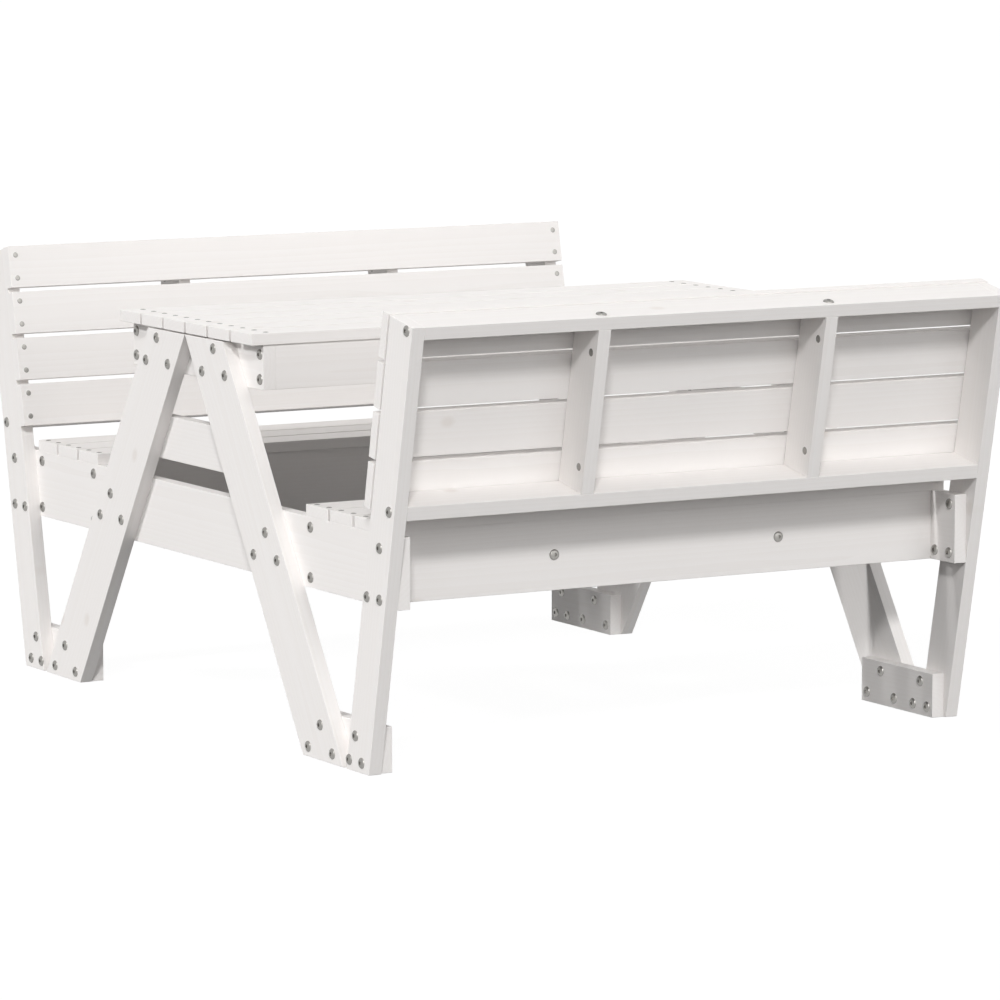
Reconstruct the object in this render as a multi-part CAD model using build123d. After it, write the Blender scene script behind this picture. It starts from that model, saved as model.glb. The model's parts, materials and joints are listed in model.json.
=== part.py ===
from build123d import *
import os
from math import atan, cos, radians, sin, tan

# A children's picnic table with two backrest benches, built from planed pine boards.
# X runs along the slats, Y across the table from bench to bench, Z is up from the floor.
# The table is the same on both sides of X = 0 and of Y = 0.  Lengths are in millimetres.

# Board stock
OVERALL_WIDTH = 880.0      # outer face to outer face of the two end frames, along X
FRAME_T = 18.0             # thickness of the frame boards, rails and aprons
SLAT_T = 15.0              # thickness of the slats
NARROW_W = 58.0            # width of slats, posts, foot blocks and rails
WIDE_W = 90.0              # width of legs, seat beams and seat aprons
SLAT_GAP = 6.0             # open joint between two slats
EDGE_EASE = 2.0            # flat eased along the long edges
SLAT_OVERHANG = 3.0        # slats past the apron below them

# Heights and slopes
TABLE_UNDERSIDE = 506.0    # underside of the table slats above the floor
SEAT_UNDERSIDE = 300.0     # underside of the seat slats above the floor
BACK_CLEARANCE = 17.4      # seat top to the lowest edge of the back slats
BACK_LEAN = 11.31          # degrees that the posts lean outwards
BOTTOM_RAIL_LIFT = 2.0     # bottom rail above the lower edge of the slats
LEG_DROP = 2.0             # tops of the legs below the table slats
TIE_LIFT = 30.0            # leg tie above the underside of the seat slats

# Stance of one end frame, measured from the middle of the table
LEG_FOOT = 323.0           # inner corner of the leg on the floor
LEG_TOP_GAP = 1.0          # space between the two legs under the table
FOOT_GAP = 7.0             # leg to post on the floor
TIE_INSET = 12.0           # ends of the leg tie inside the legs' outer edges
BLOCK_INSET_LEG = 1.5      # foot block behind the leg's inner corner
BLOCK_INSET_POST = 5.0     # foot block short of the post's rear corner
SUPPORT_X = 167.0          # seat supports and back dividers, from the middle of the bench

# Counts
TABLE_SLATS = 6
SEAT_SLATS = 3
BACK_SLATS = 4

# Fasteners
BOLT_EDGE = 13.0           # bolt centre from the edge of the board
HEAD_D = 14.0              # low round head of a bolt and of its cap nut
HEAD_H = 2.5
SHANK_D = 6.0
HOLE_PLAY = 0.3            # hole wall to shank
HEAD_PLAY = 0.3            # bolt head to the edge of the next board
HEAD_SIDES = 8             # flats that stand for the round of a head or a nut
SHANK_SIDES = 6            # flats that stand for the round of a shank or a dowel and its hole
BARREL_D = 10.0            # cross dowel nut
BARREL_DEPTH = 32.0        # nut centre from the end of the board
SCREW_IN = 30.0            # shank of a connector bolt inside the end grain

# Derived sizes
HALF = OVERALL_WIDTH / 2
FRAME_IN = HALF - FRAME_T              # inner face of legs and posts
INNER_FACE = HALF - 2 * FRAME_T        # inner face of beams, end rails and foot blocks
NARROW_PITCH = NARROW_W - 2 * BOLT_EDGE
WIDE_PITCH = WIDE_W - 2 * BOLT_EDGE
PITCH = NARROW_W + SLAT_GAP
BEAM_Z = SEAT_UNDERSIDE - WIDE_W
RAIL_Z = TABLE_UNDERSIDE - NARROW_W
TIE_Z = SEAT_UNDERSIDE + TIE_LIFT
LEG_TOP = TABLE_UNDERSIDE - LEG_DROP
SEAT_TOP = SEAT_UNDERSIDE + SLAT_T
TABLE_HALF = (TABLE_SLATS * PITCH - SLAT_GAP) / 2

LEG_SLOPE = (LEG_FOOT - LEG_TOP_GAP / 2) / LEG_TOP
LEG_RUN = WIDE_W / cos(atan(LEG_SLOPE))            # level width of a leg
LEAN = radians(BACK_LEAN)
POST_RUN = NARROW_W / cos(LEAN)                    # level width of a post
POST_FOOT = LEG_FOOT + LEG_RUN + FOOT_GAP          # front corner of the post on the floor


def leg_middle(z):
    return LEG_FOOT - LEG_SLOPE * z + LEG_RUN / 2


def post_front(z):
    return POST_FOOT + tan(LEAN) * z


# Along the back: distance up the post's front edge from the floor, then distance outwards
SLAT_LOW = (SEAT_TOP + BACK_CLEARANCE) / cos(LEAN)
SLAT_HIGH = SLAT_LOW + BACK_SLATS * PITCH - SLAT_GAP
BOTTOM_RAIL = SLAT_LOW + BOTTOM_RAIL_LIFT
TOP_RAIL = SLAT_HIGH - FRAME_T
BOLT_OUT = NARROW_W - BOLT_EDGE                    # bolts of the back, outwards from the slats

# Across one bench, seen from the middle of the table
BEAM_END = post_front(BEAM_Z) + POST_RUN
LOW_ROW = BEAM_Z + BOLT_EDGE
HIGH_ROW = SEAT_UNDERSIDE - BOLT_EDGE
REAR_APRON = post_front(LOW_ROW) - HEAD_D / 2 - HEAD_PLAY - FRAME_T / 2
SEAT_REAR = REAR_APRON + FRAME_T + SLAT_OVERHANG
SEAT_FRONT = SEAT_REAR - (SEAT_SLATS * PITCH - SLAT_GAP)
FRONT_APRON = SEAT_FRONT + SLAT_OVERHANG
TABLE_APRON = TABLE_HALF - SLAT_OVERHANG - FRAME_T

SIDES = {"left": -1, "right": 1}
BENCHES = {"front": -1, "rear": 1}
pieces = {}


def back_plane(up, out):
    """Plane at a place on the far bench's back: local X along the bench, local Y up the post."""
    y = POST_FOOT + up * sin(LEAN) + out * cos(LEAN)
    z = up * cos(LEAN) - out * sin(LEAN)
    return Plane(origin=(0, y, z), x_dir=(1, 0, 0), z_dir=(0, -cos(LEAN), sin(LEAN)))


def board_along_x(x0, x1, y0, y1, z0, z1):
    """Straight board lying along X with its four long edges eased."""
    section = chamfer(Rectangle(y1 - y0, z1 - z0).vertices(), EDGE_EASE)
    middle = Plane(origin=(x0, (y0 + y1) / 2, (z0 + z1) / 2), x_dir=(0, 1, 0), z_dir=(1, 0, 0))
    return extrude(middle * section, x1 - x0)


def board_along_y(x0, x1, y0, y1, z0, z1):
    """Straight board lying along Y with its four long edges eased."""
    section = chamfer(Rectangle(x1 - x0, z1 - z0).vertices(), EDGE_EASE)
    middle = Plane(origin=((x0 + x1) / 2, y1, (z0 + z1) / 2), x_dir=(1, 0, 0), z_dir=(0, -1, 0))
    return extrude(middle * section, y1 - y0)


def back_board(x0, x1, up0, up1, out0, out1):
    """Board of the far bench's back, given along the bench, up the post and outwards."""
    middle = back_plane((up0 + up1) / 2, (out0 + out1) / 2)
    return middle * Pos(X=(x0 + x1) / 2) * Box(x1 - x0, up1 - up0, out1 - out0)


def ease_along(solid, direction):
    """Eases the edges of a board that run in one direction."""
    return chamfer([e for e in solid.edges() if abs((e % 0.5).dot(direction)) > 0.999], EDGE_EASE)


def upright(outline):
    """Board cut from an outline of (y, z) corners, in the plane of the right end frame."""
    face = make_face(Plane.YZ * Polyline(*outline, close=True))
    return extrude(Pos(X=FRAME_IN) * face, FRAME_T, dir=(1, 0, 0))


def rod(point, direction, diameter, length, sides):
    """Straight pin, or the hole for one, from a point in a direction."""
    return extrude(Plane(origin=point, z_dir=direction) * RegularPolygon(diameter / 2, sides), length)


def hole(point, direction, length):
    """Hole that a bolt's shank passes with a little play."""
    return rod(point, direction, SHANK_D + 2 * HOLE_PLAY, length, SHANK_SIDES)


def bolt(point, direction, length):
    """Bolt whose head rests on a face at the point and whose shank goes in."""
    out = Vector(direction) * -1
    shank = rod(point, direction, SHANK_D, length, SHANK_SIDES)
    return rod(point, out, HEAD_D, HEAD_H, HEAD_SIDES) + shank


def all_four(solid):
    """The solid on the right of the far bench, with its three mirror images."""
    pair = [solid, mirror(solid, Plane.YZ)]
    return pair + [mirror(s, Plane.XZ) for s in pair]


def add_corners(name, solid):
    """One piece for each corner, from the one at the rear right."""
    for bench, side_y in BENCHES.items():
        row = solid if side_y > 0 else mirror(solid, Plane.XZ)
        for side, side_x in SIDES.items():
            pieces[f"{name}_{bench}_{side}"] = row if side_x > 0 else mirror(row, Plane.YZ)


def add_benches(name, solid):
    """One piece for each bench, from the one at the rear."""
    pieces[f"{name}_rear"] = solid
    pieces[f"{name}_front"] = mirror(solid, Plane.XZ)


def add_sides(name, solid):
    """One piece for each end frame, from the right one."""
    pieces[f"{name}_right"] = solid
    pieces[f"{name}_left"] = mirror(solid, Plane.YZ)


# Bolt places of one corner, as (y, z).  Three bolts tie each pair of boards.
BLOCK_IN = LEG_FOOT + BLOCK_INSET_LEG
BLOCK_OUT = POST_FOOT + POST_RUN - BLOCK_INSET_POST
foot_low = BOLT_EDGE
foot_high = NARROW_W - BOLT_EDGE
leg_first = BLOCK_IN + BOLT_EDGE
post_last = BLOCK_OUT - BOLT_EDGE
leg_foot_bolts = [
    (leg_first, foot_low),
    (leg_first + WIDE_PITCH, foot_low),
    (leg_first + WIDE_PITCH / 2, foot_high),
]
post_foot_bolts = [
    (post_last - NARROW_PITCH, foot_low),
    (post_last, foot_low),
    (post_last - NARROW_PITCH / 2, foot_high),
]
beam_middle = BEAM_Z + WIDE_W / 2
leg_beam_low = beam_middle - NARROW_PITCH / 2
leg_beam_bolts = [
    (leg_middle(leg_beam_low) - WIDE_PITCH / 2, leg_beam_low),
    (leg_middle(leg_beam_low) + WIDE_PITCH / 2, leg_beam_low),
    (leg_middle(leg_beam_low), leg_beam_low + NARROW_PITCH),
]
beam_last = BEAM_END - BOLT_EDGE
post_beam_bolts = [(beam_last - NARROW_PITCH, LOW_ROW), (beam_last, LOW_ROW), (beam_last, HIGH_ROW)]
rail_low = RAIL_Z + BOLT_EDGE
rail_high = TABLE_UNDERSIDE - BOLT_EDGE
leg_rail_bolts = [
    (leg_middle(rail_low) - WIDE_PITCH / 2, rail_low),
    (leg_middle(rail_low) + WIDE_PITCH / 2, rail_low),
    (leg_middle(rail_low), rail_high),
]
front_apron_bolts = [(FRONT_APRON + FRAME_T / 2, z) for z in (LOW_ROW, HIGH_ROW)]
rear_apron_bolts = [(REAR_APRON + FRAME_T / 2, z) for z in (LOW_ROW, HIGH_ROW)]
table_apron_bolts = [(TABLE_APRON + FRAME_T / 2, z) for z in (rail_low, rail_high)]


def drill_x(solid, places, start, length):
    """Holes along X through or into a board, at (y, z) places."""
    return solid - [hole((start, y, z), (1, 0, 0), length) for y, z in places]


def both_ways(places):
    """Places of the far bench, and the same of the near one."""
    return places + [(-y, z) for y, z in places]


# Slanted legs: from the floor to just under the table slats, both ends cut level
leg_outline = [
    (LEG_FOOT, 0),
    (LEG_FOOT + LEG_RUN, 0),
    (LEG_TOP_GAP / 2 + LEG_RUN, LEG_TOP),
    (LEG_TOP_GAP / 2, LEG_TOP),
]
leg_line = Vector(0, -LEG_SLOPE, 1).normalized()
leg = ease_along(upright(leg_outline), leg_line)
leg = drill_x(leg, leg_foot_bolts + leg_beam_bolts + leg_rail_bolts, FRAME_IN, FRAME_T)
add_corners("leg", leg)

# Back posts: cut level on the floor and square at the top
post_line = Vector(0, sin(LEAN), cos(LEAN))
post_top = (0, POST_FOOT + SLAT_HIGH * sin(LEAN), SLAT_HIGH * cos(LEAN))
post_outline = [
    (POST_FOOT, 0),
    (POST_FOOT + POST_RUN, 0),
    (post_top[1] + NARROW_W * cos(LEAN), post_top[2] - NARROW_W * sin(LEAN)),
    (post_top[1], post_top[2]),
]


def back_place(up, out):
    """(y, z) of a place on the far bench's back."""
    return (POST_FOOT + up * sin(LEAN) + out * cos(LEAN), up * cos(LEAN) - out * sin(LEAN))


rail_bolts = [back_place(up + FRAME_T / 2, BOLT_OUT) for up in (BOTTOM_RAIL, TOP_RAIL)]
post = ease_along(upright(post_outline), post_line)
post = drill_x(post, post_foot_bolts + post_beam_bolts + rail_bolts, FRAME_IN, FRAME_T)
add_corners("back_post", post)

# Foot blocks tie a leg and a post together on the floor
foot = board_along_y(INNER_FACE, FRAME_IN, BLOCK_IN, BLOCK_OUT, 0, NARROW_W)
add_corners("foot_block", drill_x(foot, leg_foot_bolts + post_foot_bolts, INNER_FACE, FRAME_T))

# Seat beams run under both seats, from post to post
beam = board_along_y(INNER_FACE, FRAME_IN, -BEAM_END, BEAM_END, BEAM_Z, SEAT_UNDERSIDE)
beam_places = leg_beam_bolts + post_beam_bolts + front_apron_bolts + rear_apron_bolts
add_sides("seat_beam", drill_x(beam, both_ways(beam_places), INNER_FACE, FRAME_T))

# Leg ties cross from leg to leg above the seats, on the legs' inner faces
tie_top = TIE_Z + NARROW_W
tie_half = leg_middle(tie_top) + LEG_RUN / 2 - TIE_INSET
add_sides("leg_tie", board_along_y(INNER_FACE, FRAME_IN, -tie_half, tie_half, TIE_Z, tie_top))

# Table end rails lie against the tops of the legs and carry the table slats
rail_half = TABLE_APRON + FRAME_T
end_rail = board_along_y(INNER_FACE, FRAME_IN, -rail_half, rail_half, RAIL_Z, TABLE_UNDERSIDE)
rail_places = both_ways(leg_rail_bolts + table_apron_bolts)
add_sides("table_end_rail", drill_x(end_rail, rail_places, INNER_FACE, FRAME_T))


def apron(y0, z0, z1, places):
    """Apron between the two end frames, with a hole in each end for each bolt."""
    solid = board_along_x(-INNER_FACE, INNER_FACE, y0, y0 + FRAME_T, z0, z1)
    solid = drill_x(solid, places, INNER_FACE - SCREW_IN, SCREW_IN)
    return drill_x(solid, places, -INNER_FACE, SCREW_IN)


# Aprons: one along each side of the table, two along each seat
add_benches("table_apron", apron(TABLE_APRON, RAIL_Z, TABLE_UNDERSIDE, table_apron_bolts))
support_bolt_z = beam_middle
support_holes = [hole((x, FRONT_APRON, support_bolt_z), (0, 1, 0), FRAME_T) for x in (-SUPPORT_X, SUPPORT_X)]
inner_apron = apron(FRONT_APRON, BEAM_Z, SEAT_UNDERSIDE, front_apron_bolts) - support_holes
add_benches("seat_inner_apron", inner_apron)
support_holes = [hole((x, REAR_APRON, support_bolt_z), (0, 1, 0), FRAME_T) for x in (-SUPPORT_X, SUPPORT_X)]
outer_apron = apron(REAR_APRON, BEAM_Z, SEAT_UNDERSIDE, rear_apron_bolts) - support_holes
add_benches("seat_outer_apron", outer_apron)

# Seat supports stand between the two aprons of a seat
support_near = FRONT_APRON + FRAME_T
support = Pos(SUPPORT_X, (support_near + REAR_APRON) / 2, beam_middle) * Box(
    FRAME_T, REAR_APRON - support_near, WIDE_W
)
support -= [
    hole((SUPPORT_X, support_near, support_bolt_z), (0, 1, 0), SCREW_IN),
    hole((SUPPORT_X, REAR_APRON, support_bolt_z), (0, -1, 0), SCREW_IN),
]
add_corners("seat_support", support)

# Table and seat slats
for i in range(TABLE_SLATS):
    y0 = -TABLE_HALF + i * PITCH
    top = TABLE_UNDERSIDE + SLAT_T
    pieces[f"table_slat_{i + 1}"] = board_along_x(-HALF, HALF, y0, y0 + NARROW_W, TABLE_UNDERSIDE, top)
for i in range(SEAT_SLATS):
    y0 = SEAT_FRONT + i * PITCH
    slat = board_along_x(-FRAME_IN, FRAME_IN, y0, y0 + NARROW_W, SEAT_UNDERSIDE, SEAT_TOP)
    add_benches(f"seat_slat_{i + 1}", slat)

# Back slats lie on the front edges of the posts, the first one at the bottom
for i in range(BACK_SLATS):
    low = SLAT_LOW + i * PITCH
    slat = back_board(-HALF, HALF, low, low + NARROW_W, -SLAT_T, 0)
    add_benches(f"back_slat_{i + 1}", ease_along(slat, Vector(1, 0, 0)))

# Rails between the posts, and the dividers between the rails
up_line = post_line
for name, low in (("back_bottom_rail", BOTTOM_RAIL), ("back_top_rail", TOP_RAIL)):
    rail = ease_along(back_board(-FRAME_IN, FRAME_IN, low, low + FRAME_T, 0, NARROW_W), Vector(1, 0, 0))
    places = [back_place(low + FRAME_T / 2, BOLT_OUT)]
    rail = drill_x(rail, places, FRAME_IN - SCREW_IN, SCREW_IN)
    rail = drill_x(rail, places, -FRAME_IN, SCREW_IN)
    y, z = back_place(low, BOLT_OUT)
    rail -= [hole((x, y, z), up_line, FRAME_T) for x in (-SUPPORT_X, SUPPORT_X)]
    add_benches(name, rail)
divider_low = BOTTOM_RAIL + FRAME_T
divider = back_board(SUPPORT_X - FRAME_T / 2, SUPPORT_X + FRAME_T / 2, divider_low, TOP_RAIL, 0, NARROW_W)
divider = ease_along(divider, up_line)
nut_ups = (divider_low + BARREL_DEPTH, TOP_RAIL - BARREL_DEPTH)
divider_screw = BARREL_DEPTH - BARREL_D / 2 - HOLE_PLAY
low_y, low_z = back_place(divider_low, BOLT_OUT)
high_y, high_z = back_place(TOP_RAIL, BOLT_OUT)
divider -= [
    hole((SUPPORT_X, low_y, low_z), up_line, divider_screw),
    hole((SUPPORT_X, high_y, high_z), -up_line, divider_screw),
]
nuts = []
for up in nut_ups:
    y, z = back_place(up, BOLT_OUT)
    start = (SUPPORT_X - FRAME_T / 2, y, z)
    nut = rod(start, (1, 0, 0), BARREL_D, FRAME_T, SHANK_SIDES)
    divider -= nut
    nuts.append(nut)
add_corners("back_divider", divider)

# Frame bolts go through two boards of an end frame, with a cap nut on the inside
frame_places = leg_foot_bolts + post_foot_bolts + leg_beam_bolts + post_beam_bolts + leg_rail_bolts
frame_bolts = []
cap_nuts = []
for y, z in frame_places:
    frame_bolts += all_four(bolt((HALF, y, z), (-1, 0, 0), 2 * FRAME_T))
    cap_nuts += all_four(rod((INNER_FACE, y, z), (-1, 0, 0), HEAD_D, HEAD_H, HEAD_SIDES))

# Connector bolts go through one board into the end of the next
connector_bolts = []
for y, z in front_apron_bolts + rear_apron_bolts + table_apron_bolts:
    connector_bolts += all_four(bolt((FRAME_IN, y, z), (-1, 0, 0), FRAME_T + SCREW_IN))
for y, z in rail_bolts:
    connector_bolts += all_four(bolt((HALF, y, z), (-1, 0, 0), FRAME_T + SCREW_IN))
for y, way in ((FRONT_APRON, 1), (REAR_APRON + FRAME_T, -1)):
    connector_bolts += all_four(bolt((SUPPORT_X, y, support_bolt_z), (0, way, 0), FRAME_T + SCREW_IN))
for up, way in ((BOTTOM_RAIL, 1), (SLAT_HIGH, -1)):
    y, z = back_place(up, BOLT_OUT)
    connector_bolts += all_four(bolt((SUPPORT_X, y, z), up_line * way, FRAME_T + divider_screw))

pieces["frame_bolts"] = Compound(children=frame_bolts)
pieces["cap_nuts"] = Compound(children=cap_nuts)
pieces["connector_bolts"] = Compound(children=connector_bolts)
pieces["barrel_nuts"] = Compound(children=[n for nut in nuts for n in all_four(nut)])

os.makedirs("parts", exist_ok=True)
for name, solid in pieces.items():
    export_step(solid, f"parts/{name}.step")
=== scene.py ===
import itertools
import json
from math import atan2, cos, pi, radians, sin

import bmesh
import bpy
import numpy as np
from mathutils import Matrix, Vector

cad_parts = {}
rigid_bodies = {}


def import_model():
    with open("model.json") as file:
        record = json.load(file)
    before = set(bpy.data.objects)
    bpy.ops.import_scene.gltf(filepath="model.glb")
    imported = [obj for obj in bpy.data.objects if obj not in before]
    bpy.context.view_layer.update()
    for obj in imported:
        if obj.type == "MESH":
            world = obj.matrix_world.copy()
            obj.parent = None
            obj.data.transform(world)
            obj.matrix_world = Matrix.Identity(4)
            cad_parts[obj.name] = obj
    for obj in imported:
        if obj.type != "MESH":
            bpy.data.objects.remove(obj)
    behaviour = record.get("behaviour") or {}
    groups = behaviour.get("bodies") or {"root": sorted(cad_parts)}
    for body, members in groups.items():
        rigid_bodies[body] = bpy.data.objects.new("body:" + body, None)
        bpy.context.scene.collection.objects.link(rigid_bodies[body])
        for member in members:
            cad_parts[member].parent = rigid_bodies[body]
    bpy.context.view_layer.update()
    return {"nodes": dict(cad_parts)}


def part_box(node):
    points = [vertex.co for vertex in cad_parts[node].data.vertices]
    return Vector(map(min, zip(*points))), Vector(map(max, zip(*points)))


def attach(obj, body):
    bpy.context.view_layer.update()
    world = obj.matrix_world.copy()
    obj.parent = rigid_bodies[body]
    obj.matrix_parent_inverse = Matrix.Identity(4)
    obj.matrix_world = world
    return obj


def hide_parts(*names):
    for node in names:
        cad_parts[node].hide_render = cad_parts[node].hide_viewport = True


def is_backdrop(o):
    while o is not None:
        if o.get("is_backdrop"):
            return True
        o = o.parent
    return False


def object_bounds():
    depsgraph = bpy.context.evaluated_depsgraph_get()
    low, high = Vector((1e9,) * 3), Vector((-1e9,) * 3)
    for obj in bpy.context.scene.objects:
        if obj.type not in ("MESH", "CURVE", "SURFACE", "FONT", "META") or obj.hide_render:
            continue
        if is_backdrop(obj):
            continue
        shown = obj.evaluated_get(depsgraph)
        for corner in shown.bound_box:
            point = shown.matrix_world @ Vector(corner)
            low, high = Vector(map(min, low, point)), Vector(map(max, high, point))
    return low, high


# A children's picnic table with two backrest benches, as it is put together: two end frames, the
# boards between them, the slats on top, the backs, then bolts and screws. Everything is in metres.
for old in list(bpy.data.objects):
    bpy.data.objects.remove(old)
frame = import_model()


# Slanted legs. Planed pine boards, cut level at both ends and painted white before the frames are
# bolted together, with every arris rounded over by a cutter.
ARRIS_RADIUS = 0.0006
ARRIS_STEPS = 3
NOTHING_OFF = ((0, 0), (0, 0), (0, 0))
END_ZONE = 0.001
GRAIN_SEED = 11
PITH_LOW = (-20, -0.05, 0.015)
PITH_HIGH = (20, 0.05, 0.05)
ALONG_X = Vector((1, 0, 0))
ALONG_Y = Vector((0, 1, 0))
UPWARDS = Vector((0, 0, 1))
ENDS = {"left": -1, "right": 1}
BENCHES = {"front": -1, "rear": 1}
grain_draw = np.random.default_rng(GRAIN_SEED)


def linear(hex_colour):
    """sRGB hex colour as linear red, green, blue and alpha."""
    parts = [int(hex_colour[i : i + 2], 16) / 255 for i in (1, 3, 5)]
    return [p / 12.92 if p <= 0.04045 else ((p + 0.055) / 1.055) ** 2.4 for p in parts] + [1.0]


def add(tree, kind, inputs=None, **settings):
    """Adds a node, sets it, and fills its inputs with values or with other nodes' outputs."""
    node = tree.nodes.new(kind)
    for name, value in settings.items():
        setattr(node, name, value)
    for socket, value in (inputs or {}).items():
        if isinstance(value, bpy.types.NodeSocket):
            tree.links.new(value, node.inputs[socket])
        else:
            node.inputs[socket].default_value = value
    return node


# White painted pine: an opaque matt paint on a planed softwood. To the eye it is one soft white, with
# the growth rings just showing as slightly greyer lines, a few knots, and a faint relief of the grain.
PAINT_WHITE = "#EEEBE9"
PAINT_OVER_LATEWOOD = "#EAE6E3"
PAINT_OVER_KNOT = "#E5E0DC"
PAINT_ROUGHNESS = (0.48, 0.62)
PAINT_IOR = 1.45
PAINT_SHINE = 0.12
WAVE_NODE_FACTOR = 20
RING_SPACING = 0.0055
RING_STRETCH = 0.05
RING_WANDER = 5.0
KNOT_RADIUS = 0.006
KNOT_EDGE = (1.5, 0.6)
KNOT_STRETCH = 0.7
KNOT_ROOM = (0.34, 0.075)
KNOT_RARITY = 0.72
FIBRE_LENGTH = 0.08
FIBRE_WIDTH = 0.0016
GRAIN_RELIEF = 0.00012
RELIEF_STRENGTH = 0.35

painted_pine = bpy.data.materials.new("white_painted_pine")
painted_pine.use_nodes = True
tree = painted_pine.node_tree
paint = tree.nodes["Principled BSDF"]
grain = add(tree, "ShaderNodeAttribute", attribute_name="grain")
drawn_out = add(
    tree,
    "ShaderNodeMapping",
    {"Vector": grain.outputs["Vector"], "Scale": (RING_STRETCH, 1, 1)},
)
rings = add(
    tree,
    "ShaderNodeTexWave",
    {
        "Vector": drawn_out.outputs["Vector"],
        "Scale": 2 * pi / WAVE_NODE_FACTOR / RING_SPACING,
        "Distortion": RING_WANDER,
        "Detail": 2.0,
        "Detail Scale": 0.6,
    },
    wave_type="RINGS",
    rings_direction="X",
    wave_profile="SAW",
)
fibre_place = add(
    tree,
    "ShaderNodeMapping",
    {
        "Vector": grain.outputs["Vector"],
        "Scale": (1 / FIBRE_LENGTH, 1 / FIBRE_WIDTH, 1 / FIBRE_WIDTH),
    },
)
fibres = add(
    tree,
    "ShaderNodeTexNoise",
    {"Vector": fibre_place.outputs["Vector"], "Scale": 1.0, "Detail": 3.0, "Roughness": 0.6},
)
knot_room = add(
    tree,
    "ShaderNodeMapping",
    {"Vector": grain.outputs["Vector"], "Scale": (1 / KNOT_ROOM[0], 1 / KNOT_ROOM[1], 1)},
)
knot_middle = add(
    tree,
    "ShaderNodeTexVoronoi",
    {"Vector": knot_room.outputs["Vector"], "Scale": 1.0, "Randomness": 1.0},
    voronoi_dimensions="2D",
)
to_knot = add(
    tree,
    "ShaderNodeVectorMath",
    {0: knot_room.outputs["Vector"], 1: knot_middle.outputs["Position"]},
    operation="SUBTRACT",
)
knot_offset = add(
    tree,
    "ShaderNodeVectorMath",
    {0: to_knot.outputs["Vector"], 1: (KNOT_ROOM[0] * KNOT_STRETCH, KNOT_ROOM[1], 0.0)},
    operation="MULTIPLY",
)
knot_distance = add(
    tree,
    "ShaderNodeVectorMath",
    {0: knot_offset.outputs["Vector"]},
    operation="LENGTH",
)
knot_face = add(
    tree,
    "ShaderNodeMapRange",
    {
        "Value": knot_distance.outputs["Value"],
        "From Min": KNOT_RADIUS * KNOT_EDGE[0],
        "From Max": KNOT_RADIUS * KNOT_EDGE[1],
    },
)
knot_draw = add(tree, "ShaderNodeSeparateColor", {"Color": knot_middle.outputs["Color"]})
knot_here = add(
    tree,
    "ShaderNodeMath",
    {0: knot_draw.outputs["Red"], 1: KNOT_RARITY},
    operation="GREATER_THAN",
)
knot = add(
    tree,
    "ShaderNodeMath",
    {0: knot_face.outputs["Result"], 1: knot_here.outputs["Value"]},
    operation="MULTIPLY",
)
ring_share = add(
    tree,
    "ShaderNodeMath",
    {0: rings.outputs["Fac"], 1: fibres.outputs["Fac"]},
    operation="MULTIPLY",
)
ringed = add(
    tree,
    "ShaderNodeMix",
    {
        "Factor": ring_share.outputs["Value"],
        6: linear(PAINT_WHITE),
        7: linear(PAINT_OVER_LATEWOOD),
    },
    data_type="RGBA",
)
knotted = add(
    tree,
    "ShaderNodeMix",
    {
        "Factor": knot.outputs["Value"],
        6: ringed.outputs[2],
        7: linear(PAINT_OVER_KNOT),
    },
    data_type="RGBA",
)
tree.links.new(knotted.outputs[2], paint.inputs["Base Color"])
sheen = add(
    tree,
    "ShaderNodeMapRange",
    {
        "Value": fibres.outputs["Fac"],
        "To Min": PAINT_ROUGHNESS[0],
        "To Max": PAINT_ROUGHNESS[1],
    },
)
tree.links.new(sheen.outputs["Result"], paint.inputs["Roughness"])
relief = add(
    tree,
    "ShaderNodeMath",
    {0: ring_share.outputs["Value"], 1: fibres.outputs["Fac"]},
    operation="ADD",
)
relief_bump = add(
    tree,
    "ShaderNodeBump",
    {
        "Height": relief.outputs["Value"],
        "Strength": RELIEF_STRENGTH,
        "Distance": GRAIN_RELIEF,
    },
)
tree.links.new(relief_bump.outputs["Normal"], paint.inputs["Normal"])
paint.inputs["IOR"].default_value = PAINT_IOR
paint.inputs["Specular IOR Level"].default_value = PAINT_SHINE


def corners_of(node):
    """Corner points of a CAD node."""
    return np.array([v.co for v in frame["nodes"][node].data.vertices])


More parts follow.
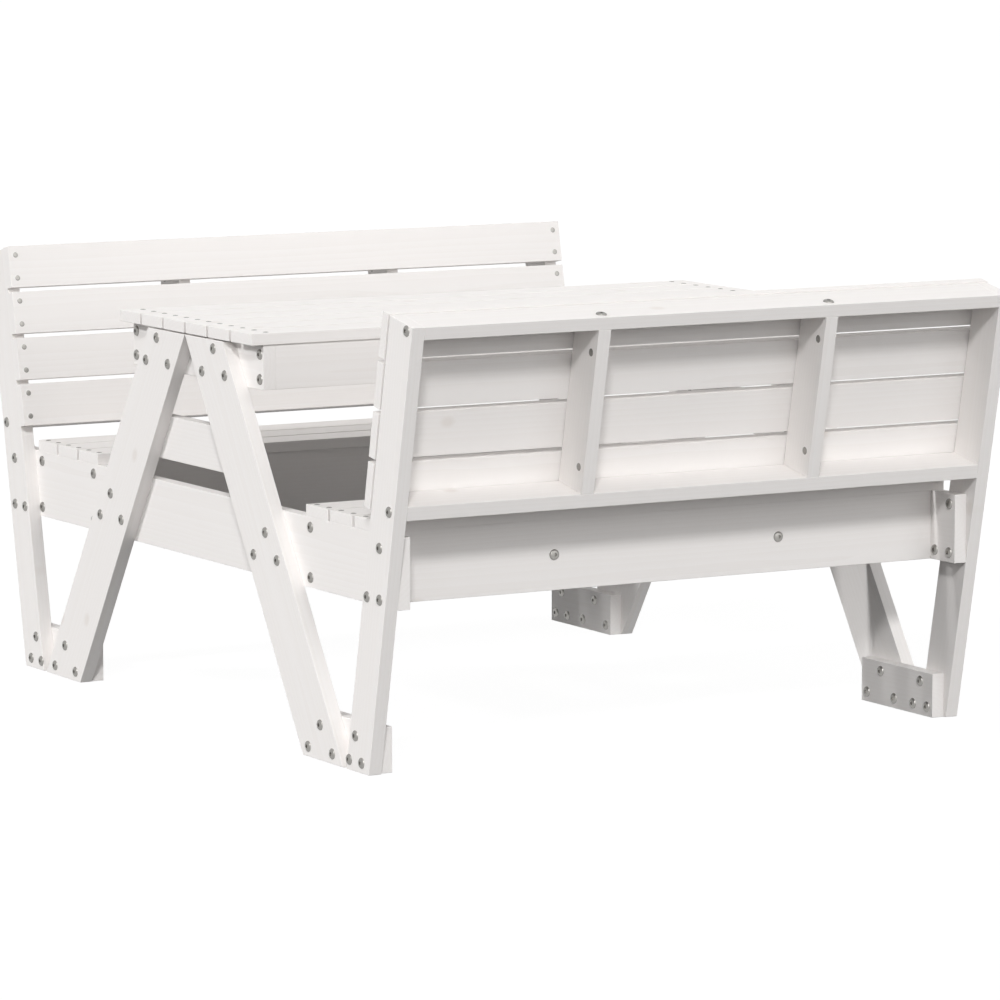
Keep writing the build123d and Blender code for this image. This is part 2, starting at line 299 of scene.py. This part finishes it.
def board(node, along, across, through, ends=None, arris=ARRIS_RADIUS, off=NOTHING_OFF):
    """Board in the place of a CAD node: six planes laid on its solid, every arris rounded.

    The three directions are square to its end cuts, its edges and its faces, and ends may give the
    two end cuts different directions. For each direction, off holds what the board loses at its low
    and its high side. The grain attribute runs along, across and through the board.
    """
    corners = corners_of(node)
    cuts = [ends or (along, along), (across, across), (through, through)]
    shape = bmesh.new()
    verts = {}
    for pick in itertools.product((0, 1), repeat=3):
        normals = np.array([cut[side] for cut, side in zip(cuts, pick)])
        reach = []
        for normal, lost, side in zip(normals, off, pick):
            heights = corners @ normal
            reach.append(heights.max() - lost[1] if side else heights.min() + lost[0])
        verts[pick] = shape.verts.new(np.linalg.solve(normals, reach))
    ring = [(0, 0), (0, 1), (1, 1), (1, 0)]
    for axis in range(3):
        for side in (0, 1):
            shape.faces.new([verts[r[:axis] + (side,) + r[axis:]] for r in ring])
    bmesh.ops.recalc_face_normals(shape, faces=shape.faces)
    bmesh.ops.bevel(
        shape,
        geom=shape.edges[:],
        offset=arris,
        segments=ARRIS_STEPS,
        profile=0.5,
        affect="EDGES",
        clamp_overlap=True,
    )
    mesh = bpy.data.meshes.new(f"painted_{node}")
    shape.to_mesh(mesh)
    shape.free()
    mesh.shade_smooth()
    in_end_frame = abs(across.x) < 0.5 and abs(along.x) < 0.5
    run = ALONG_X.cross(across) if in_end_frame else along
    axes = np.array([run.normalized(), across, through])
    places = np.array([v.co for v in mesh.vertices])
    pith = grain_draw.uniform(PITH_LOW, PITH_HIGH)
    local = (places - places.mean(0)) @ axes.T + pith
    grain_places = mesh.attributes.new("grain", "FLOAT_VECTOR", "POINT")
    grain_places.data.foreach_set("vector", local.astype(np.float32).ravel())
    mesh.materials.append(painted_pine)
    piece = bpy.data.objects.new(f"painted_{node}", mesh)
    bpy.context.scene.collection.objects.link(piece)
    even = piece.modifiers.new("even_shading", "WEIGHTED_NORMAL")
    even.mode = "FACE_AREA"
    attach(piece, "root")
    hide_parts(node)


def foot_and_head(corners):
    """Middle of a leaning board's lower end cut, and of its upper one."""
    heights = corners[:, 2]
    foot = corners[heights < heights.min() + END_ZONE]
    head = corners[heights > heights.max() - END_ZONE]
    return foot.mean(0), head.mean(0)


def slope_across(node, toward):
    """Direction square to the long edges of a slanted leg, away from the table."""
    corners = corners_of(node)
    foot, head = foot_and_head(corners)
    lean = atan2((head - foot)[1] * toward, corners[:, 2].max())
    return Vector((0, toward * cos(lean), -sin(lean)))


for bench, toward in BENCHES.items():
    for end in ENDS:
        leg = f"leg_{bench}_{end}"
        board(leg, UPWARDS, slope_across(leg, toward), ALONG_X)


# Back posts. Narrow boards that lean outwards, cut level on the floor and square at the top, and
# the only boards whose two ends differ. They leave a fine seam behind the back slats and end a
# hair below the top of them.
BACK_LEAN = radians(11.31)
SLAT_SEAM = 0.001
SLAT_PROUD = 0.0016


def up_post(toward):
    """Direction up a post."""
    return Vector((0, toward * sin(BACK_LEAN), cos(BACK_LEAN)))


def out_of_back(toward):
    """Direction from the slats of a back to the rear edge of its posts."""
    return Vector((0, toward * cos(BACK_LEAN), -sin(BACK_LEAN)))


for bench, toward in BENCHES.items():
    for end in ENDS:
        board(
            f"back_post_{bench}_{end}",
            up_post(toward),
            out_of_back(toward),
            ALONG_X,
            ends=(UPWARDS, up_post(toward)),
            off=((0, SLAT_PROUD), (SLAT_SEAM, 0), (0, 0)),
        )


# Foot blocks, seat beams, leg ties and table end rails. Straight boards across the table, laid flat
# against the inner faces of legs and posts, which they join into one stiff end frame. The ties end
# well inside the legs, so that no end of them shows beside a leg.
TIE_SHORT = 0.024
for bench in BENCHES:
    for end in ENDS:
        board(f"foot_block_{bench}_{end}", ALONG_Y, UPWARDS, ALONG_X)
for end in ENDS:
    board(f"seat_beam_{end}", ALONG_Y, UPWARDS, ALONG_X)
    shorter = ((TIE_SHORT, TIE_SHORT), (0, 0), (0, 0))
    board(f"leg_tie_{end}", ALONG_Y, UPWARDS, ALONG_X, off=shorter)
    board(f"table_end_rail_{end}", ALONG_Y, UPWARDS, ALONG_X)


# Aprons and seat supports. Boards on edge that run from one end frame to the other, and the short
# boards that stand between the two aprons of a seat and carry its slats in the middle.
for bench in BENCHES:
    for apron in ("table_apron", "seat_inner_apron", "seat_outer_apron"):
        board(f"{apron}_{bench}", ALONG_X, UPWARDS, ALONG_Y)
    for end in ENDS:
        board(f"seat_support_{bench}_{end}", ALONG_Y, UPWARDS, ALONG_X)


# Table and seat slats. Thin narrow boards laid flat with an open joint between them, screwed down
# at both ends. The list keeps what the screws need to know of each slat.
TABLE_SLATS = 6
SEAT_SLATS = 3
slats = []
for number in range(1, TABLE_SLATS + 1):
    slats.append((f"table_slat_{number}", ALONG_Y, UPWARDS, "table_end_rail"))
for bench in BENCHES:
    for number in range(1, SEAT_SLATS + 1):
        slats.append((f"seat_slat_{number}_{bench}", ALONG_Y, UPWARDS, "seat_beam"))
for slat, across, upper_face, bearer in slats:
    board(slat, ALONG_X, across, upper_face)


# Backs. Rails laid flat between the posts, dividers between the rails, and slats on the front
# edges of posts and dividers. The slats are a hair longer than the back is wide, their arrises are
# only just broken, and the top slat is planed down by a shaving.
BACK_SLATS = 4
BACK_SLAT_ARRIS = 0.0003
TOP_SLAT_SHAVING = 0.0004
for bench, toward in BENCHES.items():
    for rail, drop in (("back_bottom_rail", 0), ("back_top_rail", SLAT_PROUD)):
        seams = ((0, 0), (SLAT_SEAM, 0), (0, drop))
        board(f"{rail}_{bench}", ALONG_X, out_of_back(toward), up_post(toward), off=seams)
    for end in ENDS:
        divider = f"back_divider_{bench}_{end}"
        seams = ((0, 0), (SLAT_SEAM, 0), (0, 0))
        board(divider, up_post(toward), out_of_back(toward), ALONG_X, off=seams)
    for number in range(1, BACK_SLATS + 1):
        slat = f"back_slat_{number}_{bench}"
        shaving = TOP_SLAT_SHAVING if number == BACK_SLATS else 0
        longer = ((-SLAT_PROUD, -SLAT_PROUD), (0, shaving), (0, 0))
        board(slat, ALONG_X, up_post(toward), out_of_back(toward), arris=BACK_SLAT_ARRIS, off=longer)
        slats.append((slat, up_post(toward), -out_of_back(toward), f"back_post_{bench}"))


# Bolts through the end frames. Zinc plated steel bolts with a low round head and a hexagon socket,
# pulled down on the paint, with a cap nut of the same look on the inside of the frame.
HEAD_ACROSS = 0.014
HEAD_RISE = 0.0025
SOCKET_ACROSS = 0.0052
SOCKET_DEEP = 0.0017
HEXAGON = 6
BOLT_HEAD = (HEAD_ACROSS, HEAD_RISE, SOCKET_ACROSS, SOCKET_DEEP, HEXAGON)
ROUND_SIDES = 24
DOME_STEPS = ((0.35, 0.97), (0.4, 0.86), (0.25, 0.72))
WELD = 1e-5
SAME_POINT = 1e-6
SHARP_EDGE = radians(32)

# Zinc plated steel: a bright grey metal that is turned, plated and tumbled, so it is smooth with a
# soft, slightly uneven gloss.
ZINC_GREY = "#ACAAA6"
ZINC_DULL = "#8E8C88"
ZINC_ROUGHNESS = (0.34, 0.48)
TUMBLE_MARK = 0.0012

zinc_steel = bpy.data.materials.new("zinc_plated_steel")
zinc_steel.use_nodes = True
tree = zinc_steel.node_tree
metal = tree.nodes["Principled BSDF"]
metal.inputs["Metallic"].default_value = 1.0
place = add(tree, "ShaderNodeTexCoord")
tumbled = add(
    tree,
    "ShaderNodeTexNoise",
    {"Vector": place.outputs["Object"], "Scale": 1 / TUMBLE_MARK, "Detail": 2.0},
)
plating = add(
    tree,
    "ShaderNodeMix",
    {"Factor": tumbled.outputs["Fac"], 6: linear(ZINC_GREY), 7: linear(ZINC_DULL)},
    data_type="RGBA",
)
tree.links.new(plating.outputs[2], metal.inputs["Base Color"])
gloss = add(
    tree,
    "ShaderNodeMapRange",
    {
        "Value": tumbled.outputs["Fac"],
        "To Min": ZINC_ROUGHNESS[0],
        "To Max": ZINC_ROUGHNESS[1],
    },
)
tree.links.new(gloss.outputs["Result"], metal.inputs["Roughness"])

# The head is a disc drawn up in three steps into a low dome, with the socket cut out of its top.
# One is set on every place, turned by chance about its own axis.
head_tree = bpy.data.node_groups.new("socket_heads", "GeometryNodeTree")
head_tree.interface.new_socket("Geometry", in_out="OUTPUT", socket_type="NodeSocketGeometry")
sockets = {}
for title, kind in (
    ("Places", "NodeSocketGeometry"),
    ("Head across", "NodeSocketFloat"),
    ("Head rise", "NodeSocketFloat"),
    ("Socket across", "NodeSocketFloat"),
    ("Socket depth", "NodeSocketFloat"),
    ("Socket sides", "NodeSocketInt"),
    ("Seed", "NodeSocketInt"),
    ("Metal", "NodeSocketMaterial"),
):
    socket = head_tree.interface.new_socket(title, in_out="INPUT", socket_type=kind)
    sockets[title] = socket.identifier
given = add(head_tree, "NodeGroupInput")
radius = add(
    head_tree,
    "ShaderNodeMath",
    {0: given.outputs["Head across"], 1: 0.5},
    operation="MULTIPLY",
)
disc = add(
    head_tree,
    "GeometryNodeMeshCircle",
    {"Vertices": ROUND_SIDES, "Radius": radius.outputs["Value"]},
    fill_type="NGON",
)
dome = disc.outputs["Mesh"]
top = None
for rise_share, width_share in DOME_STEPS:
    rise = add(
        head_tree,
        "ShaderNodeMath",
        {0: given.outputs["Head rise"], 1: rise_share},
        operation="MULTIPLY",
    )
    drawn = add(
        head_tree,
        "GeometryNodeExtrudeMesh",
        {
            "Mesh": dome,
            "Offset": (0, 0, 1),
            "Offset Scale": rise.outputs["Value"],
            "Individual": False,
        },
        mode="FACES",
    )
    if top is not None:
        head_tree.links.new(top, drawn.inputs["Selection"])
    top = drawn.outputs["Top"]
    narrowed = add(
        head_tree,
        "GeometryNodeScaleElements",
        {"Geometry": drawn.outputs["Mesh"], "Selection": top, "Scale": width_share},
        domain="FACE",
    )
    dome = narrowed.outputs["Geometry"]
underside = add(head_tree, "GeometryNodeFlipFaces", {"Mesh": disc.outputs["Mesh"]})
shell = add(head_tree, "GeometryNodeJoinGeometry")
head_tree.links.new(dome, shell.inputs["Geometry"])
head_tree.links.new(underside.outputs["Mesh"], shell.inputs["Geometry"])
closed = add(
    head_tree,
    "GeometryNodeMergeByDistance",
    {"Geometry": shell.outputs["Geometry"], "Distance": WELD},
)
key_radius = add(
    head_tree,
    "ShaderNodeMath",
    {0: given.outputs["Socket across"], 1: 0.5},
    operation="MULTIPLY",
)
key_length = add(
    head_tree,
    "ShaderNodeMath",
    {0: given.outputs["Socket depth"], 1: 2.0},
    operation="MULTIPLY",
)
key = add(
    head_tree,
    "GeometryNodeMeshCylinder",
    {
        "Vertices": given.outputs["Socket sides"],
        "Radius": key_radius.outputs["Value"],
        "Depth": key_length.outputs["Value"],
    },
)
key_place = add(head_tree, "ShaderNodeCombineXYZ", {"Z": given.outputs["Head rise"]})
key_up = add(
    head_tree,
    "GeometryNodeTransform",
    {"Geometry": key.outputs["Mesh"], "Translation": key_place.outputs["Vector"]},
)
head = add(
    head_tree,
    "GeometryNodeMeshBoolean",
    {"Mesh 1": closed.outputs["Geometry"]},
    operation="DIFFERENCE",
)
head_tree.links.new(key_up.outputs["Geometry"], head.inputs["Mesh 2"])
way = add(head_tree, "GeometryNodeInputNamedAttribute", {"Name": "way"}, data_type="FLOAT_VECTOR")
facing = add(
    head_tree,
    "FunctionNodeAlignRotationToVector",
    {"Vector": way.outputs["Attribute"]},
    axis="Z",
)
turn = add(
    head_tree,
    "FunctionNodeRandomValue",
    {2: 0.0, 3: 2 * pi, "Seed": given.outputs["Seed"]},
    data_type="FLOAT",
)
turned = add(
    head_tree,
    "FunctionNodeAxisAngleToRotation",
    {"Axis": (0, 0, 1), "Angle": turn.outputs[1]},
)
pointed = add(
    head_tree,
    "FunctionNodeRotateRotation",
    {"Rotation": facing.outputs["Rotation"], "Rotate By": turned.outputs["Rotation"]},
    rotation_space="LOCAL",
)
set_out = add(
    head_tree,
    "GeometryNodeInstanceOnPoints",
    {
        "Points": given.outputs["Places"],
        "Instance": head.outputs["Mesh"],
        "Rotation": pointed.outputs["Rotation"],
    },
)
real = add(head_tree, "GeometryNodeRealizeInstances", {"Geometry": set_out.outputs["Instances"]})
plated = add(
    head_tree,
    "GeometryNodeSetMaterial",
    {"Geometry": real.outputs["Geometry"], "Material": given.outputs["Metal"]},
)
add(head_tree, "NodeGroupOutput", {"Geometry": plated.outputs["Geometry"]})


def solids_of(node):
    """Corner points of each separate solid in a CAD node."""
    shape = bmesh.new()
    shape.from_mesh(frame["nodes"][node].data)
    bmesh.ops.remove_doubles(shape, verts=shape.verts, dist=SAME_POINT)
    left = set(shape.verts)
    found = []
    while left:
        reached = [left.pop()]
        for vert in reached:
            near = {edge.other_vert(vert) for edge in vert.link_edges} & left
            left -= near
            reached += near
        found.append(np.array([v.co for v in reached]))
    shape.free()
    return sorted(found, key=lambda points: tuple(points.mean(0).round(5)))


def bolt_places(node):
    """Seat of each bolt's head on the wood, and the direction that the head faces."""
    places = []
    for points in solids_of(node):
        middle = points.mean(0)
        axis = np.linalg.svd(points - middle)[2][0]
        height = (points - middle) @ axis
        wide = np.linalg.norm(points - middle - np.outer(height, axis), axis=1)
        if height[wide.argmax()] < 0:
            axis, height = -axis, -height
        seat = height[wide > wide.max() * 0.99].min()
        places.append((Vector(middle + axis * seat), Vector(axis)))
    return places


def set_heads(name, places, head_form, seed, *nodes):
    """Sets a head on each place by the tree and turns the result into a plain mesh.

    The form holds the head's width and rise, then its socket's width, depth and number of sides.
    """
    across, rise, socket, deep, sides = head_form
    points = bpy.data.meshes.new(f"{name}_places")
    points.from_pydata([p for p, _ in places], [], [])
    ways = np.array([w for _, w in places], np.float32)
    points.attributes.new("way", "FLOAT_VECTOR", "POINT").data.foreach_set("vector", ways.ravel())
    piece = bpy.data.objects.new(name, points)
    bpy.context.scene.collection.objects.link(piece)
    maker = piece.modifiers.new("heads", "NODES")
    maker.node_group = head_tree
    for title, value in (
        ("Head across", across),
        ("Head rise", rise),
        ("Socket across", socket),
        ("Socket depth", deep),
        ("Socket sides", sides),
        ("Seed", seed),
        ("Metal", zinc_steel),
    ):
        maker[sockets[title]] = value
    drawn = piece.evaluated_get(bpy.context.evaluated_depsgraph_get())
    mesh = bpy.data.meshes.new_from_object(drawn)
    piece.modifiers.remove(maker)
    piece.data = mesh
    mesh.name = name
    mesh.shade_smooth()
    mesh.set_sharp_from_angle(angle=SHARP_EDGE)
    bpy.data.meshes.remove(points)
    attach(piece, "root")
    if nodes:
        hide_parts(*nodes)


FRAME_BOLT_SEED = 3
CAP_NUT_SEED = 5
set_heads("frame_bolt_heads", bolt_places("frame_bolts"), BOLT_HEAD, FRAME_BOLT_SEED, "frame_bolts")
inner_faces = []
for points in solids_of("cap_nuts"):
    middle = points.mean(0)
    side = 1 if middle[0] > 0 else -1
    face = np.abs(points[:, 0]).max()
    inner_faces.append((Vector((side * face, middle[1], middle[2])), ALONG_X * -side))
set_heads("cap_nut_heads", inner_faces, BOLT_HEAD, CAP_NUT_SEED, "cap_nuts")


# Connector bolts. The same bolts where one board meets the end of another: aprons on the end
# frames, rails on the posts, seat supports on the aprons, and dividers on the rails. Those on the
# top rails sit as much lower as the rails do.
FACES_UP = 0.9
CONNECTOR_SEED = 7
connector_places = []
for spot, outward in bolt_places("connector_bolts"):
    drop = SLAT_PROUD if outward.z > FACES_UP else 0
    connector_places.append((spot - outward * drop, outward))
set_heads("connector_bolt_heads", connector_places, BOLT_HEAD, CONNECTOR_SEED, "connector_bolts")


# Cross dowel nuts. Short round steel bars across the dividers that the connector bolts screw
# into, with a shallow square recess in each end.
DOWEL_ACROSS = 0.010
DOWEL_RISE = 0.0004
RECESS_ACROSS = 0.006
RECESS_DEEP = 0.0002
SQUARE = 4
DOWEL_END = (DOWEL_ACROSS, DOWEL_RISE, RECESS_ACROSS, RECESS_DEEP, SQUARE)
DOWEL_SEED = 9
dowel_ends = []
for points in solids_of("barrel_nuts"):
    middle = points.mean(0)
    reach = np.abs(points[:, 0] - middle[0]).max()
    for side in (-1, 1):
        spot = Vector((middle[0] + side * reach, middle[1], middle[2]))
        dowel_ends.append((spot, ALONG_X * side))
set_heads("cross_dowel_ends", dowel_ends, DOWEL_END, DOWEL_SEED, "barrel_nuts")


# Slat and tie screws. Small countersunk steel screws: two side by side at each end of each slat, over
# the middle of the board that carries it, and two from the inside where a leg tie crosses a leg.
SCREW_ACROSS = 0.0075
SCREW_RISE = 0.0005
SCREW_KEY = 0.0042
SCREW_KEY_DEEP = 0.0003
SCREW_HEAD = (SCREW_ACROSS, SCREW_RISE, SCREW_KEY, SCREW_KEY_DEEP, SQUARE)
SCREW_SEED = 13
SCREW_APART = 0.032
screw_places = []
for slat, across, upper_face, bearer in slats:
    corners = corners_of(slat)
    width = corners @ np.array(across)
    middle = width.min() / 2 + width.max() / 2
    face = (corners @ np.array(upper_face)).max()
    for end in ENDS:
        low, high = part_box(f"{bearer}_{end}")
        line = (low.x + high.x) / 2
        for side in (-0.5, 0.5):
            spot = across * (middle + side * SCREW_APART) + upper_face * face + ALONG_X * line
            screw_places.append((spot, upper_face))
for end, outward in ENDS.items():
    low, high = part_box(f"leg_tie_{end}")
    face = low.x if outward > 0 else high.x
    for bench, toward in BENCHES.items():
        leg = corners_of(f"leg_{bench}_{end}")
        foot, head = foot_and_head(leg)
        for side in (-0.5, 0.5):
            height = (low.z + high.z) / 2 + side * SCREW_APART
            middle = foot[1] + (head - foot)[1] * height / leg[:, 2].max()
            spot = Vector((face, middle - toward * TIE_SHORT, height))
            screw_places.append((spot, ALONG_X * -outward))
set_heads("small_screw_heads", screw_places, SCREW_HEAD, SCREW_SEED)


# Studio floor: a pale seamless sheet. It shows as the white of the background and keeps a soft
# shadow under the feet.
FLOOR_REACH = 60.0
FLOOR_DROP = 0.0005
FLOOR_DIM = "#484848"
BACKGROUND_GLOW = 0.965
SHADOW_SHARE = "#484848"


def seen_directly(tree):
    """One for rays from the camera, off a gloss or through glass, and zero for those that light."""
    ray = add(tree, "ShaderNodeLightPath")
    mirrored = add(
        tree,
        "ShaderNodeMath",
        {0: ray.outputs["Is Camera Ray"], 1: ray.outputs["Is Glossy Ray"]},
        operation="MAXIMUM",
    )
    seen = add(
        tree,
        "ShaderNodeMath",
        {0: mirrored.outputs["Value"], 1: ray.outputs["Is Transmission Ray"]},
        operation="MAXIMUM",
    )
    return seen.outputs["Value"]


sheet = bpy.data.meshes.new("studio_floor")
corner_signs = ((-1, -1), (1, -1), (1, 1), (-1, 1))
sheet.from_pydata(
    [(x * FLOOR_REACH, y * FLOOR_REACH, -FLOOR_DROP) for x, y in corner_signs],
    [],
    [(0, 1, 2, 3)],
)
floor = bpy.data.objects.new("studio_floor", sheet)
bpy.context.scene.collection.objects.link(floor)
seamless = bpy.data.materials.new("seamless_paper")
seamless.use_nodes = True
tree = seamless.node_tree
tree.nodes.clear()
lit = add(tree, "ShaderNodeBsdfDiffuse", {"Color": linear(FLOOR_DIM)})
glow = add(tree, "ShaderNodeEmission", {"Strength": BACKGROUND_GLOW})
faint = add(tree, "ShaderNodeBsdfDiffuse", {"Color": linear(SHADOW_SHARE)})
white = add(tree, "ShaderNodeAddShader", {0: glow.outputs[0], 1: faint.outputs[0]})
paper = add(
    tree,
    "ShaderNodeMixShader",
    {0: seen_directly(tree), 1: lit.outputs[0], 2: white.outputs[0]},
)
add(tree, "ShaderNodeOutputMaterial", {"Surface": paper.outputs[0]})
sheet.materials.append(seamless)
floor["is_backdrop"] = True


# Light. A soft key lamp in front and to the left, a small hard lamp from the left, broad fill lamps in
# front and behind, and the pale walls of a room that is lightest near the floor. The left and rear
# lamps make no gloss, so that the tops keep their colour when they are seen from the other end.
KEY_FROM = (-0.6, -1.0, 0.8)
KEY_STRENGTH = 1.48
KEY_WIDTH = radians(8)
LEFT_FROM = (-1.0, 0.06, 0.6)
LEFT_STRENGTH = 1.55
LEFT_WIDTH = radians(4)
FILL_FROM = (0.35, -1.0, 0.4)
FILL_STRENGTH = 0.76
FILL_WIDTH = radians(50)
REAR_FROM = (0.3, 1.0, 0.15)
REAR_STRENGTH = 1.3
REAR_WIDTH = radians(60)
WALL_WHITE = "#FFFFFF"
WALL_SEEN = 1.0
WALL_LOW = 1.35
WALL_HIGH = 0.22
WALL_FADES_FROM = 0.05
WALL_FADES_TO = 0.5
for name, source, strength, width, makes_gloss in (
    ("key_lamp", KEY_FROM, KEY_STRENGTH, KEY_WIDTH, True),
    ("left_lamp", LEFT_FROM, LEFT_STRENGTH, LEFT_WIDTH, False),
    ("fill_lamp", FILL_FROM, FILL_STRENGTH, FILL_WIDTH, True),
    ("rear_lamp", REAR_FROM, REAR_STRENGTH, REAR_WIDTH, False),
):
    lamp = bpy.data.lights.new(name, "SUN")
    lamp.energy = strength
    lamp.angle = width
    holder = bpy.data.objects.new(name, lamp)
    holder.rotation_euler = Vector(source).to_track_quat("Z", "Y").to_euler()
    holder.visible_glossy = makes_gloss
    bpy.context.scene.collection.objects.link(holder)
room = bpy.data.worlds.new("studio_room")
bpy.context.scene.world = room
room.use_nodes = True
tree = room.node_tree
tree.nodes.clear()
outlook = add(tree, "ShaderNodeTexCoord")
compass = add(tree, "ShaderNodeSeparateXYZ", {"Vector": outlook.outputs["Generated"]})
wall_glow = add(
    tree,
    "ShaderNodeMapRange",
    {
        "Value": compass.outputs["Z"],
        "From Min": WALL_FADES_FROM,
        "From Max": WALL_FADES_TO,
        "To Min": WALL_LOW,
        "To Max": WALL_HIGH,
    },
)
room_light = add(
    tree,
    "ShaderNodeBackground",
    {"Color": linear(WALL_WHITE), "Strength": wall_glow.outputs["Result"]},
)
white_wall = add(
    tree,
    "ShaderNodeBackground",
    {"Color": linear(WALL_WHITE), "Strength": WALL_SEEN},
)
walls = add(
    tree,
    "ShaderNodeMixShader",
    {0: seen_directly(tree), 1: room_light.outputs[0], 2: white_wall.outputs[0]},
)
add(tree, "ShaderNodeOutputWorld", {"Surface": walls.outputs[0]})
bpy.context.scene.view_settings.view_transform = "Standard"


# Camera. A long lens from beyond the near left corner, a little above the table. Its place and its
# angles were fitted to corners of the object in the photograph, which is a thousand pixels wide.
CAMERA_PLACE = (-3.6538, -6.3864, 1.2176)
CAMERA_HEADING = radians(-30.0)
CAMERA_DIP = radians(7.425)
CAMERA_ROLL = radians(0.017)
FOCAL_PIXELS = 5517.6
PICTURE_PIXELS = 1000
SENSOR = 36.0
FAR_CLIP = 300
camera_data = bpy.data.cameras.new("camera")
camera_data.sensor_width = SENSOR
camera_data.lens = FOCAL_PIXELS * SENSOR / PICTURE_PIXELS
camera_data.clip_end = FAR_CLIP
camera = bpy.data.objects.new("camera", camera_data)
bpy.context.scene.collection.objects.link(camera)
camera.matrix_world = (
    Matrix.Translation(CAMERA_PLACE)
    @ Matrix.Rotation(CAMERA_HEADING, 4, "Z")
    @ Matrix.Rotation(pi / 2 - CAMERA_DIP, 4, "X")
    @ Matrix.Rotation(CAMERA_ROLL, 4, "Z")
)
bpy.context.scene.camera = camera

low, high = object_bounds()
